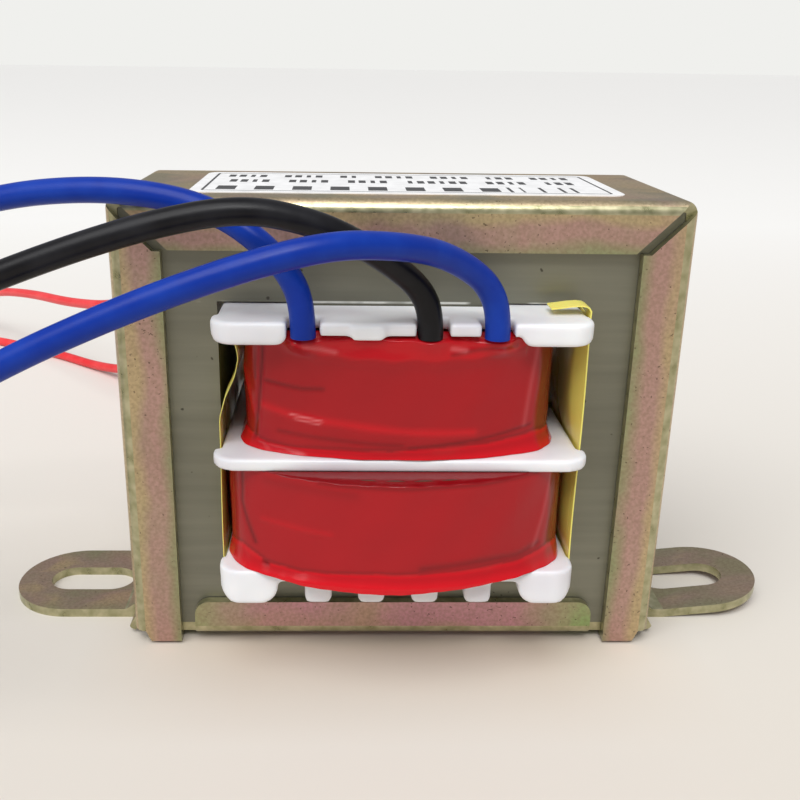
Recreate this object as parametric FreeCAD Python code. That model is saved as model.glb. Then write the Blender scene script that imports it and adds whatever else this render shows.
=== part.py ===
import FreeCAD, Part

import math
import os

V = FreeCAD.Vector

# Laminated chassis transformer, in millimetres.
# X runs along the mounting ears, -Y is the side with the secondary leads, +Z is up.
# The origin lies midway between the ears, on the surface that the ears stand on.

# Laminations
core_width = 48.0
e_height = 32.0
outer_leg = 8.0
centre_leg = 16.0
yoke = 8.0
lamination_thickness = 0.5
sheets_per_group = 4
group_count = 10

# Clamp frame and base plate, folded from one gauge of sheet
sheet = 0.9
inner_bend = 0.2
core_fit = 0.1
side_flange = 4.5
top_flange = 4.4
mitre_gap = 1.0
mitre_drop = 0.1
crimp_length = 2.6
crimp_low = 0.3
crimp_web_gap = 0.4
crimp_flange_rise = 3.0
crimp_bend = 0.8
flange_end_chamfer = 0.5
flange_end_cut = 1.1

# Tabs on the lower corners of the frame, splayed beside each ear
tab_angle = 33.0
tab_low = 0.3
tab_root = 0.4
tab_relief = 0.8
tab_tip = 0.3
ear_notch_fit = 0.3

# Mounting ears of the base plate, stepped down to the surface outside the frame
ear_width = 12.4
slot_from_frame = 6.6
slot_length = 8.8
slot_width = 4.6
ear_end_margin = 3.3
joggle_gap = 0.2
joggle_run = 1.3
joggle_blend = 0.35
joggle_bend = 0.5
right_ear_bend = 6.0
right_ear_flat = 1.5

# Lips of the base plate, turned up against the front and the rear of the core
lip_fit = 1.4
lip_height = 2.8
lip_corner = 1.4
lip_root = 1.0

# Bobbin
flange_fit = 0.4
flange_overhang = 6.6
flange_thickness = 1.1
bobbin_end_fit = 0.15
former_fit = 0.15
former_wall = 0.9
former_corner = 0.6
upper_bay = 10.85
mid_corner = 2.2
end_corner = 2.0

# Corners of the flanges, wider than the window outside the core, where the film ends
mid_ear = 0.6
end_ear_left = 0.4
end_ear_right = 0.2

# Lugs at the corners of the outer flanges, posts between the lower ones
top_lug_reach = 6.0
bottom_lug_reach = 4.9
lug_depth = 1.7
lug_corner_share = 0.55
lug_step = 0.2
lug_coil_fit = 0.2
top_lug_drop = 0.85
bottom_lug_drop = 2.2
post_count = 4
post_pitch = 4.75
post_width = 2.4
post_depth = 1.5
post_inset = 0.15
post_corner = 0.6

# Slots for the leads in the top flange, with a tongue in the place of one slot
lead_slot_pitch = 5.3
first_slot_x = 8.3
lead_slot_width = 2.7
lead_slot_depth = 2.4
tongue_width = 2.8
tongue_depth = 0.5
tongue_proud = 0.35
tongue_step = 0.3
tongue_corner = 0.45

# Taped coils: free share of the bay's depth at the sides, place of the bulging front, outline's radii
primary_free_share = 0.122
primary_front_proud = 2.3
primary_corner = 4.5
primary_front_radius = 26.0
secondary_free_share = 0.351
secondary_front_inset = 0.5
secondary_corner = 4.0
secondary_front_radius = 30.0
tape_build = 0.4
rim_share = 0.56
rim_height = 0.8
secondary_top_fit = 0.25

# Insulating film between the coils and the outer legs
film = 0.2
film_fit = 0.1
film_end_gap = 0.2
film_overhang = 3.6
film_curl = 4.2
film_curl_radius = 0.9
film_curl_rise = 0.9
film_curl_gap = 0.5
left_film_overhang = 3.0
left_film_straight = 2.4
left_film_bow_share = 0.83
left_film_tuck_share = 0.52
left_film_tuck_height = 2.7

# Label
label_end_margin = 5.95
label_side_margin = 3.2
label_shift = 0.55
label_thickness = 0.1
label_corner = 0.5

# Leads
secondary_lead = 2.1
primary_lead = 1.55
lead_exit_inset = 0.6
tip_length = 5.0
secondary_tip = 1.2
primary_tip = 0.8
tip_chamfer = 0.15
bend_share = 0.45

# Cutting solids run past what they cut
past = 1.0

# Levels and half sizes that follow from the sizes above
plate_bottom = sheet
plate_top = plate_bottom + sheet
stack = lamination_thickness * sheets_per_group * group_count
half_stack = stack / 2
half_core = core_width / 2
i_height = yoke
core_top = plate_top + e_height + i_height
window_side = half_core - outer_leg
window_bottom = plate_top + yoke
window_top = plate_top + e_height
web_inner = half_core + core_fit
web_outer = web_inner + sheet
flange_inner = half_stack + core_fit
flange_outer = flange_inner + sheet
frame_top_inner = core_top + core_fit
frame_top = frame_top_inner + sheet
opening_half = web_outer - side_flange
opening_top = frame_top - top_flange
outer_bend = inner_bend + sheet
notch_half = ear_width / 2 + ear_notch_fit
notch_top = plate_top + ear_notch_fit
relief_half = flange_outer - outer_bend
tab_width = relief_half - tab_relief - notch_half
slot_x = web_outer + slot_from_frame
ear_tip = slot_x + slot_length / 2 + ear_end_margin
joggle_start = web_outer + joggle_gap
joggle_end = joggle_start + joggle_run
lip_half = opening_half - lip_fit
lip_top = plate_top + lip_height
bobbin_bottom = window_bottom + bobbin_end_fit
bobbin_top = window_top - bobbin_end_fit
flange_half_x = window_side - flange_fit
flange_half_y = half_stack + flange_overhang
flange_ear_start = half_stack + film_overhang + film_end_gap
top_flange_z = bobbin_top - flange_thickness
mid_flange_z = top_flange_z - upper_bay - flange_thickness
bay_bottom = bobbin_bottom + flange_thickness
former_half_x = centre_leg / 2 + former_fit + former_wall
former_half_y = half_stack + former_fit + former_wall
primary_free = primary_free_share * (flange_half_x - former_half_x)
secondary_free = secondary_free_share * (flange_half_x - former_half_x)
primary_coil = (flange_half_x - primary_free, flange_half_y + primary_front_proud,
                primary_corner, primary_front_radius)
secondary_coil = (flange_half_x - secondary_free, flange_half_y - secondary_front_inset,
                  secondary_corner, secondary_front_radius)
rim_proud = rim_share * primary_free
film_outer = window_side - film_fit
left_film_bow = left_film_bow_share * secondary_free
left_film_tuck = left_film_tuck_share * secondary_free
lead_exit_z = top_flange_z - secondary_top_fit
lead_exit_y = flange_half_y - lead_exit_inset
floor_big = secondary_lead / 2
floor_small = primary_lead / 2

# Routes of the leads, from the exit beside the bobbin flange to the end of the insulation
blue_left_route = [
    (-8.3, -lead_exit_y, lead_exit_z), (-8.3, -lead_exit_y, 35.0), (-9.4, -16.1, 37.7),
    (-11.6, -15.8, 40.0), (-14.6, -15.0, 42.0), (-19.0, -14.0, 43.3), (-25.6, -12.6, 43.7),
    (-33.7, -10.6, 42.7), (-43.6, -8.4, 39.6), (-55.5, -6.0, 33.5), (-68.0, -3.4, 24.8),
    (-79.5, -0.6, 14.4), (-89.5, 2.4, 5.2), (-98.0, 5.8, floor_big), (-106.0, 10.4, floor_big),
    (-112.5, 16.2, floor_big),
]
black_route = [
    (2.1, -lead_exit_y, lead_exit_z), (2.1, -lead_exit_y, 34.4), (1.1, -16.3, 36.5),
    (-0.8, -17.2, 38.3), (-3.5, -18.5, 40.3), (-7.3, -19.5, 42.2), (-12.6, -20.1, 43.3),
    (-19.4, -20.7, 42.1), (-27.6, -21.4, 39.5), (-36.6, -21.7, 35.9), (-46.6, -21.2, 30.0),
    (-57.0, -20.2, 21.2), (-67.5, -18.8, 11.8), (-76.5, -17.0, 4.0), (-85.0, -14.5, floor_big),
    (-93.5, -10.9, floor_big), (-101.0, -6.2, floor_big),
]
blue_right_route = [
    (7.6, -lead_exit_y, lead_exit_z), (7.6, -lead_exit_y, 34.5), (6.6, -16.4, 36.8),
    (4.7, -17.5, 38.5), (1.9, -19.6, 40.1), (-1.6, -22.3, 41.0), (-6.0, -24.6, 41.4),
    (-12.2, -25.8, 40.0), (-20.3, -26.1, 37.1), (-30.2, -26.1, 32.6), (-40.8, -25.5, 26.2),
    (-52.0, -24.6, 17.6), (-62.0, -23.7, 7.8), (-70.5, -22.7, floor_big), (-80.0, -21.0, floor_big),
    (-89.0, -18.3, floor_big),
]
red_left_route = [
    (-7.6, lead_exit_y, lead_exit_z), (-7.6, lead_exit_y, 35.0), (-8.1, 17.3, 37.4),
    (-9.1, 19.5, 39.0), (-10.9, 23.2, 39.5), (-14.2, 28.3, 37.9), (-20.0, 34.7, 33.0),
    (-28.6, 43.2, 25.0), (-38.7, 53.3, 17.7), (-50.1, 66.3, 14.9), (-62.0, 81.0, 13.2),
    (-74.0, 95.2, 10.2), (-84.5, 107.6, 4.2), (-93.0, 116.4, floor_small),
    (-102.5, 122.6, floor_small),
]
red_right_route = [
    (-2.3, lead_exit_y, lead_exit_z), (-2.3, lead_exit_y, 35.0), (-2.7, 17.3, 37.4),
    (-3.5, 19.4, 39.0), (-5.2, 22.9, 39.2), (-8.4, 27.8, 36.6), (-14.0, 34.4, 30.4),
    (-22.4, 44.2, 20.2), (-31.2, 54.8, 10.6), (-39.6, 65.4, 3.6), (-48.4, 75.4, floor_small),
    (-59.4, 84.6, floor_small), (-70.4, 91.5, floor_small), (-81.5, 97.0, floor_small),
    (-91.0, 100.4, floor_small),
]


def box(x0, x1, y0, y1, z0, z1):
    return Part.makeBox(x1 - x0, y1 - y0, z1 - z0, V(x0, y0, z0))


def prism(points, direction):
    face = Part.Face(Part.makePolygon(points + [points[0]]))
    return face.extrude(direction)


def joined(shapes):
    result = shapes[0]
    for shape in shapes[1:]:
        result = result.fuse(shape)
    return result.removeSplitter()


def edges_along(shape, axis, test):
    found = []
    for edge in shape.Edges:
        if len(edge.Vertexes) < 2 or not isinstance(edge.Curve, Part.Line):
            continue
        if abs(abs(edge.tangentAt(edge.FirstParameter).dot(axis)) - 1) > 1e-6:
            continue
        if test(edge.CenterOfMass):
            found.append(edge)
    return found


def rounded(shape, axis, test, radius):
    edges = edges_along(shape, axis, test)
    return shape.makeFillet(radius, edges)


def mirrored_x(shape):
    return shape.mirror(V(0, 0, 0), V(1, 0, 0))


def mirrored_y(shape):
    return shape.mirror(V(0, 0, 0), V(0, 1, 0))


def four_ways(shape):
    return [shape, mirrored_x(shape), mirrored_y(shape), mirrored_y(mirrored_x(shape))]


X_AXIS, Y_AXIS, Z_AXIS = V(1, 0, 0), V(0, 1, 0), V(0, 0, 1)


# Core: groups of sheets, every other group turned over so that the joints overlap
def e_sheet(y0, upright):
    back = plate_top if upright else core_top - yoke
    low = plate_top if upright else core_top - e_height
    body = box(-half_core, half_core, y0, y0 + lamination_thickness, low, low + e_height)
    window_low = back + yoke if upright else low
    window_high = low + e_height if upright else back
    for side in (-1, 1):
        inner = side * centre_leg / 2
        outer = side * window_side
        x0, x1 = min(inner, outer), max(inner, outer)
        body = body.cut(box(x0, x1, y0, y0 + lamination_thickness, window_low, window_high))
    return body


def i_sheet(y0, upright):
    low = plate_top + e_height if upright else plate_top
    return box(-half_core, half_core, y0, y0 + lamination_thickness, low, low + i_height)


def lamination_groups():
    groups = {}
    for group in range(group_count):
        upright = group % 2 == 0
        start = -half_stack + group * sheets_per_group * lamination_thickness
        places = [start + n * lamination_thickness for n in range(sheets_per_group)]
        label = f"{group + 1:02d}"
        groups["e_laminations_" + label] = Part.makeCompound([e_sheet(y, upright) for y in places])
        groups["i_laminations_" + label] = Part.makeCompound([i_sheet(y, upright) for y in places])
    return groups


# Clamp frame: top web, two side webs, and flanges that fold over both faces of the core
def folded_box(half_x, half_y, low, high, bend):
    body = box(-half_x, half_x, -half_y, half_y, low, high)
    body = rounded(body, Z_AXIS, lambda c: True, bend)
    top_edges = [e for e in body.Edges if e.BoundBox.ZMin > high - 0.01]
    return body.makeFillet(bend, top_edges)


def frame_shell():
    outer = folded_box(web_outer, flange_outer, -outer_bend, frame_top, outer_bend)
    inner = folded_box(web_inner, flange_inner, -outer_bend - past, frame_top_inner, inner_bend)
    return outer.cut(inner)


def mitre_cut():
    reach = side_flange + outer_bend
    half = mitre_gap / math.sqrt(2)
    x0, z0 = opening_half, opening_top - mitre_drop
    y0 = -flange_outer - past
    points = [
        V(x0 - half, y0, z0), V(x0 + half, y0, z0),
        V(x0 + half + reach, y0, z0 + reach), V(x0 - half + reach, y0, z0 + reach),
    ]
    return prism(points, V(0, past + sheet + core_fit / 2, 0))


def frame_tab():
    lean = math.radians(tab_angle)
    start = plate_top + tab_root
    ahead = V(math.sin(lean), 0, -math.cos(lean))
    inner, outer = V(web_inner, -notch_half, start), V(web_outer, -notch_half, start)
    fall = start - tab_low
    inner_end = inner + ahead * (fall / math.cos(lean))
    outer_end = outer + ahead * (fall / math.cos(lean) - sheet * math.sin(lean))
    tab = prism([inner, outer, outer_end, inner_end], V(0, -tab_width, 0))
    tip = edges_along(tab, Y_AXIS, lambda c: c.z < start - 0.5 * fall)
    tab = tab.makeFillet(tab_tip, tip)
    link = box(web_inner, web_outer, -notch_half - tab_width, -notch_half, notch_top, start)
    return tab.fuse(link)


def frame_corner_end():
    x0, x1 = opening_half, web_inner - crimp_web_gap
    crimp = box(x0, x1, -flange_outer, -flange_inner + crimp_length, crimp_low, sheet)
    flange = box(x0, x1, -flange_outer, -flange_inner, crimp_low, crimp_flange_rise)
    folded = joined([crimp, flange])
    fold = lambda c: c.z < crimp_low + 0.01 and c.y < 0.01 - flange_outer
    return rounded(folded, X_AXIS, fold, crimp_bend)


def flange_end_cutter():
    corner = [
        V(web_outer + past, 0, -past), V(web_outer - outer_bend - flange_end_chamfer, 0, -past),
        V(web_outer - outer_bend - flange_end_chamfer, 0, crimp_low),
        V(web_outer - outer_bend, 0, crimp_low + flange_end_cut),
        V(web_outer + past, 0, crimp_low + flange_end_cut),
    ]
    return prism(corner, V(0, -flange_outer - past, 0))


def clamp_frame():
    body = frame_shell()
    deep = flange_outer + past
    wide = web_outer + past
    body = body.cut(box(-opening_half, opening_half, -deep, deep, -outer_bend - past, opening_top))
    for cutter in four_ways(mitre_cut()):
        body = body.cut(cutter)
    body = body.cut(box(-wide, wide, -relief_half, relief_half, -outer_bend - past, notch_top))
    body = body.cut(box(-wide, wide, -deep, deep, -outer_bend - past, crimp_low))
    for cutter in four_ways(flange_end_cutter()):
        body = body.cut(cutter)
    return joined([body] + four_ways(frame_corner_end()) + four_ways(frame_tab()))


# Base plate: flat under the core, upturned lips front and rear, ears that step down outside the frame
def ear(bend):
    half = ear_width / 2
    bend_x = joggle_end + right_ear_flat
    rise = (ear_tip - bend_x) * math.tan(math.radians(bend))
    x0 = half_core - joggle_blend
    profile = [
        V(x0, -half, plate_bottom), V(x0, -half, plate_top),
        V(joggle_start + joggle_blend, -half, plate_top), V(joggle_end + joggle_blend, -half, sheet),
        V(bend_x, -half, sheet), V(ear_tip, -half, sheet + rise),
        V(ear_tip, -half, rise), V(bend_x, -half, 0),
        V(joggle_end - joggle_blend, -half, 0), V(joggle_start - joggle_blend, -half, plate_bottom),
    ]
    strip = prism(profile, V(0, ear_width, 0)).removeSplitter()
    folds = (joggle_start - joggle_blend - 0.01, joggle_end + joggle_blend + 0.01)
    strip = rounded(strip, Y_AXIS, lambda c: folds[0] < c.x < folds[1], joggle_bend)
    strip = rounded(strip, Z_AXIS, lambda c: c.x > ear_tip - 0.01, 0.99 * half)
    straight = (slot_length - slot_width) / 2
    low, high = -past, sheet + rise + past
    slot = box(slot_x - straight, slot_x + straight, -slot_width / 2, slot_width / 2, low, high)
    for x in (slot_x - straight, slot_x + straight):
        slot = slot.fuse(Part.makeCylinder(slot_width / 2, high - low, V(x, 0, low)))
    return strip.cut(slot.removeSplitter())


def lip():
    inner_y = lip_root - half_stack
    profile = [
        V(-lip_half, inner_y, plate_bottom), V(-lip_half, -flange_outer, plate_bottom),
        V(-lip_half, -flange_outer, lip_top), V(-lip_half, -flange_inner, lip_top),
        V(-lip_half, -flange_inner, plate_top), V(-lip_half, inner_y, plate_top),
    ]
    body = prism(profile, V(2 * lip_half, 0, 0))
    fold = lambda c: c.z < plate_bottom + 0.01 and c.y < 0.01 - flange_outer
    body = rounded(body, X_AXIS, fold, outer_bend)
    return rounded(body, Y_AXIS, lambda c: c.z > lip_top - 0.01, lip_corner)


def base_plate():
    plate = box(-half_core, half_core, -half_stack, half_stack, plate_bottom, plate_top)
    return joined([plate, ear(right_ear_bend), mirrored_x(ear(0.0)), lip(), mirrored_y(lip())])


# Bobbin: square former with three flanges, lugs and posts along the outer flanges
def flange_plate(z, corner, ear_left, ear_right):
    top = z + flange_thickness
    x0, x1 = -flange_half_x - ear_left, flange_half_x + ear_right
    plate = box(-flange_half_x, flange_half_x, -flange_half_y, flange_half_y, z, top)
    ears = box(x0, x1, -flange_half_y, -flange_ear_start, z, top)
    plate = joined([plate, ears, mirrored_y(ears)])
    return rounded(plate, Z_AXIS, lambda c: abs(c.y) > flange_half_y - 0.01, corner)


def former_block(half_x, half_y, low, high):
    body = box(-half_x, half_x, -half_y, half_y, low, high)
    return rounded(body, Z_AXIS, lambda c: True, former_corner)


def corner_lug(z_low, z_high, reach, flange_ear):
    x0, x1 = flange_half_x - reach, flange_half_x + flange_ear
    lug = box(x0, x1, -flange_half_y, -flange_half_y + lug_depth, z_low, z_high)
    lug = rounded(lug, Y_AXIS, lambda c: c.z < z_low + 0.01, lug_corner_share * (z_high - z_low))
    outline = box(-x1, x1, -flange_half_y, flange_half_y, z_low, z_high)
    return lug.common(rounded(outline, Z_AXIS, lambda c: True, end_corner))


def corner_lugs(z_low, z_high, reach, coil_cut=None):
    right = corner_lug(z_low, z_high, reach, end_ear_right)
    left = mirrored_x(corner_lug(z_low, z_high, reach, end_ear_left))
    lugs = [right, mirrored_y(right), left, mirrored_y(left)]
    return [lug.cut(coil_cut) for lug in lugs] if coil_cut else lugs


def post(x, z_low, z_high):
    y0 = -flange_half_y + post_inset
    body = box(x - post_width / 2, x + post_width / 2, y0, y0 + post_depth, z_low, z_high)
    return rounded(body, Y_AXIS, lambda c: c.z < z_low + 0.01, post_corner)


def tongue():
    x = -first_slot_x + lead_slot_pitch
    y0, y1 = -flange_half_y - tongue_proud, -flange_half_y + tongue_depth
    low, high = top_flange_z - tongue_step, bobbin_top - tongue_step
    body = box(x - tongue_width / 2, x + tongue_width / 2, y0, y1, low, high)
    return rounded(body, Y_AXIS, lambda c: True, tongue_corner)


def lead_slot(place):
    x = -first_slot_x + place * lead_slot_pitch
    return box(x - lead_slot_width / 2, x + lead_slot_width / 2, -flange_half_y - past,
               -flange_half_y + lead_slot_depth, top_flange_z - past, bobbin_top + past)


def bobbin():
    foot = bobbin_bottom - bottom_lug_drop
    coil_cut = coil_block(secondary_coil, lug_coil_fit, mid_flange_z, top_flange_z)
    pieces = [
        flange_plate(bobbin_bottom, end_corner, end_ear_left, end_ear_right),
        flange_plate(mid_flange_z, mid_corner, mid_ear, mid_ear),
        flange_plate(top_flange_z, end_corner, end_ear_left, end_ear_right),
        former_block(former_half_x, former_half_y, bobbin_bottom, bobbin_top),
    ]
    pieces += corner_lugs(top_flange_z - top_lug_drop, bobbin_top - lug_step, top_lug_reach, coil_cut)
    pieces += corner_lugs(foot, bay_bottom - lug_step, bottom_lug_reach)
    for n in range(post_count):
        one = post((n - (post_count - 1) / 2) * post_pitch, foot, bay_bottom - lug_step)
        pieces += [one, mirrored_y(one)]
    pieces += [tongue(), mirrored_y(mirrored_x(tongue()))]
    body = joined(pieces)
    for place in (0, 2, 3):
        slot = lead_slot(place)
        body = body.cut(slot).cut(mirrored_y(mirrored_x(slot)))
    inner_x, inner_y = former_half_x - former_wall, former_half_y - former_wall
    return body.cut(box(-inner_x, inner_x, -inner_y, inner_y, foot - past, bobbin_top + past))


# Coils: a rounded outline whose front and rear bulge, for the wire and for the tape around it
def coil_outline(coil, offset, z):
    half, front, corner, bulge = (value + offset for value in coil)
    corner_x = half - corner
    drop = math.sqrt((bulge - corner) ** 2 - corner_x ** 2)
    side_y = front - bulge + drop
    angle = math.atan2(-drop, corner_x)
    touch = V(corner_x + corner * math.cos(angle), -side_y + corner * math.sin(angle), z)
    mid = V(corner_x + corner * math.cos(angle / 2), -side_y + corner * math.sin(angle / 2), z)
    side = V(half, -side_y, z)

    def flip(p, sx, sy):
        return V(sx * p.x, sy * p.y, z)

    edges = []
    for sy in (1, -1):
        edges += [
            Part.Arc(flip(side, 1, sy), flip(mid, 1, sy), flip(touch, 1, sy)).toShape(),
            Part.Arc(flip(touch, 1, sy), V(0, -front * sy, z), flip(touch, -1, sy)).toShape(),
            Part.Arc(flip(touch, -1, sy), flip(mid, -1, sy), flip(side, -1, sy)).toShape(),
        ]
        edges.append(Part.LineSegment(flip(side, -sy, 1), flip(side, -sy, -1)).toShape())
    return Part.Wire(Part.__sortEdges__(edges))


def coil_block(coil, offset, z0, z1):
    return Part.Face(coil_outline(coil, offset, z0)).extrude(V(0, 0, z1 - z0))


def winding(coil, z0, z1):
    inside = former_block(former_half_x, former_half_y, z0 - past, z1 + past)
    return coil_block(coil, -tape_build, z0, z1).cut(inside)


def tape(coil, z0, z1):
    wrapped = coil_block(coil, 0, z0, z1).fuse(coil_block(coil, rim_proud, z0, z0 + rim_height))
    return wrapped.cut(coil_block(coil, -tape_build, z0 - past, z1 + past))


# Insulating film between the coils and the outer legs
def film_right():
    x0, x1 = film_outer - film, film_outer
    low, high = bobbin_bottom + film_end_gap, bobbin_top - film_end_gap
    half = half_stack + film_overhang
    upright = box(x0, x1, -half, half, low, high)
    y0, y1 = -half, -flange_outer - film_curl_gap
    crown = bobbin_top + film_curl_rise
    curl = box(x1 - film_curl, x1, y0, y1, high - film, crown)
    curl = rounded(curl, Y_AXIS, lambda c: c.z > crown - 0.01 and c.x > x1 - 0.01, film_curl_radius)
    hollow = box(x1 - film_curl - past, x0, y0 - past, y1 + past, high - film - past, crown - film)
    hollow = rounded(hollow, Y_AXIS, lambda c: c.z > crown - film - 0.01 and c.x > x0 - 0.01,
                     film_curl_radius - film)
    return joined([upright, curl.cut(hollow)])


def film_left():
    x = -film_outer
    low, high = bobbin_bottom + film_end_gap, top_flange_z - film_end_gap
    bend = mid_flange_z + flange_thickness + left_film_straight
    crest = high - left_film_tuck_height
    bowed = Part.BSplineCurve()
    bowed.interpolate(
        [V(x, 0, bend), V(x + left_film_bow / 2, 0, (bend + crest) / 2 + film),
         V(x + left_film_bow, 0, crest), V(x + left_film_tuck, 0, high)],
        InitialTangent=V(0, 0, 1), FinalTangent=V(-0.15, 0, 1))
    wire = Part.Wire([Part.LineSegment(V(x, 0, low), V(x, 0, bend)).toShape(), bowed.toShape()])
    depth = 2 * (half_stack + left_film_overhang)
    side = wire.extrude(V(0, depth, 0))
    side.translate(V(0, -depth / 2, 0))
    return side.makeOffsetShape(film, 1e-3, fill=True)


def rating_label():
    half_x = web_outer - label_end_margin
    half_y = flange_outer - label_side_margin
    body = box(label_shift - half_x, label_shift + half_x, -half_y, half_y,
               frame_top, frame_top + label_thickness)
    return rounded(body, Z_AXIS, lambda c: True, label_corner)


# Leads: straight runs joined by tangent arcs
def lead_path(points):
    nodes = [V(*p) for p in points]
    edges = []
    radii = []
    start = nodes[0]
    for before, here, after in zip(nodes, nodes[1:], nodes[2:]):
        come = here - before
        go = after - here
        reach = bend_share * min(come.Length, go.Length)
        come.normalize()
        go.normalize()
        turn = come.getAngle(go)
        radius = reach / math.tan(turn / 2)
        inward = (go - come).normalize()
        middle = here + inward * (radius / math.cos(turn / 2) - radius)
        enter, leave = here - come * reach, here + go * reach
        edges.append(Part.LineSegment(start, enter).toShape())
        edges.append(Part.Arc(enter, middle, leave).toShape())
        radii.append(radius)
        start = leave
    edges.append(Part.LineSegment(start, nodes[-1]).toShape())
    return Part.Wire(edges), radii


def lead(points, diameter):
    path, radii = lead_path(points)
    direction = V(*points[1]) - V(*points[0])
    ring = Part.Wire(Part.makeCircle(diameter / 2, V(*points[0]), direction))
    tube = path.makePipeShell([ring], True, False)
    section = math.pi * diameter ** 2 / 4
    print(f"length {path.Length:.1f}, smallest radius {min(radii):.1f}, "
          f"volume ratio {tube.Volume / (section * path.Length):.4f}")
    return tube


def lead_tip(points, diameter):
    end = V(*points[-1])
    direction = (end - V(*points[-2])).normalize()
    body = Part.makeCylinder(diameter / 2, tip_length, end, direction)
    far = [e for e in body.Edges if (e.CenterOfMass - end).dot(direction) > tip_length - 0.01]
    return body.makeChamfer(tip_chamfer, far)


def build():
    parts = lamination_groups()
    parts["clamp_frame"] = clamp_frame()
    parts["base_plate"] = base_plate()
    parts["bobbin"] = bobbin()
    lower = (bay_bottom, mid_flange_z)
    upper = (mid_flange_z + flange_thickness, lead_exit_z)
    parts["primary_winding"] = winding(primary_coil, *lower)
    parts["primary_tape"] = tape(primary_coil, *lower)
    parts["secondary_winding"] = winding(secondary_coil, *upper)
    parts["secondary_tape"] = tape(secondary_coil, *upper)
    parts["window_film_right"] = film_right()
    parts["window_film_left"] = film_left()
    parts["rating_label"] = rating_label()
    leads = {
        "secondary_lead_blue_left": (blue_left_route, secondary_lead, secondary_tip),
        "secondary_lead_black": (black_route, secondary_lead, secondary_tip),
        "secondary_lead_blue_right": (blue_right_route, secondary_lead, secondary_tip),
        "primary_lead_red_left": (red_left_route, primary_lead, primary_tip),
        "primary_lead_red_right": (red_right_route, primary_lead, primary_tip),
    }
    for name, (route, insulation, wire) in leads.items():
        parts[name] = lead(route, insulation)
        parts[name.replace("_lead_", "_tip_")] = lead_tip(route, wire)
    return parts


os.makedirs("parts", exist_ok=True)
for node, shape in build().items():
    print(node, "solids", len(shape.Solids), "valid", shape.isValid(), "volume", round(shape.Volume, 2))
    shape.exportStep("parts/" + node + ".step")
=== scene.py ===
"""A laminated chassis transformer with flying leads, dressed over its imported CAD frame."""
import logging
import math
from collections.abc import Sequence
from dataclasses import dataclass
from enum import Enum, IntEnum

import bpy
import numpy as np
from mathutils import Matrix, Vector


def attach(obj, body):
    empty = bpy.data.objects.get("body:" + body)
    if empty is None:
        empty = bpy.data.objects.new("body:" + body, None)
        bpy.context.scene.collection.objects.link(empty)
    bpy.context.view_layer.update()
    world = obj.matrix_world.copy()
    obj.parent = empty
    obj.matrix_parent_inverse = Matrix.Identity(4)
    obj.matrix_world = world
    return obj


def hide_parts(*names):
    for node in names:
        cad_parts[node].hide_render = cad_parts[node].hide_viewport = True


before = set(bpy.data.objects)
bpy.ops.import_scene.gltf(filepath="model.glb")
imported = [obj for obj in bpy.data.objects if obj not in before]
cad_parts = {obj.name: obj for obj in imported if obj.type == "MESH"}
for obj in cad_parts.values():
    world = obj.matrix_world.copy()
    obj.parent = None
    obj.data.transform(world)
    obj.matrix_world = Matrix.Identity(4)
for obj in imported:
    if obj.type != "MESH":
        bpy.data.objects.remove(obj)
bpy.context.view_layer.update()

LOG = logging.getLogger("chassis_transformer")
MM = 0.001
Colour = tuple[float, float, float, float]
Point = tuple[float, float, float]
Span = tuple[float, float]
Path = tuple[Span, ...]
Stop = tuple[float, Colour]
Socket = bpy.types.NodeSocket
Piece = bpy.types.Object
Material = bpy.types.Material


def tone(red: int, green: int, blue: int) -> Colour:
    """Turn a screen colour into linear light.

    Args:
        red: Red from 0 to 255.
        green: Green from 0 to 255.
        blue: Blue from 0 to 255.

    Returns:
        The colour as Blender's sockets take it.
    """
    shares = (red / 255, green / 255, blue / 255)
    light = [share / 12.92 if share < 0.04045 else ((share + 0.055) / 1.055) ** 2.4 for share in shares]
    return (light[0], light[1], light[2], 1.0)


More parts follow.
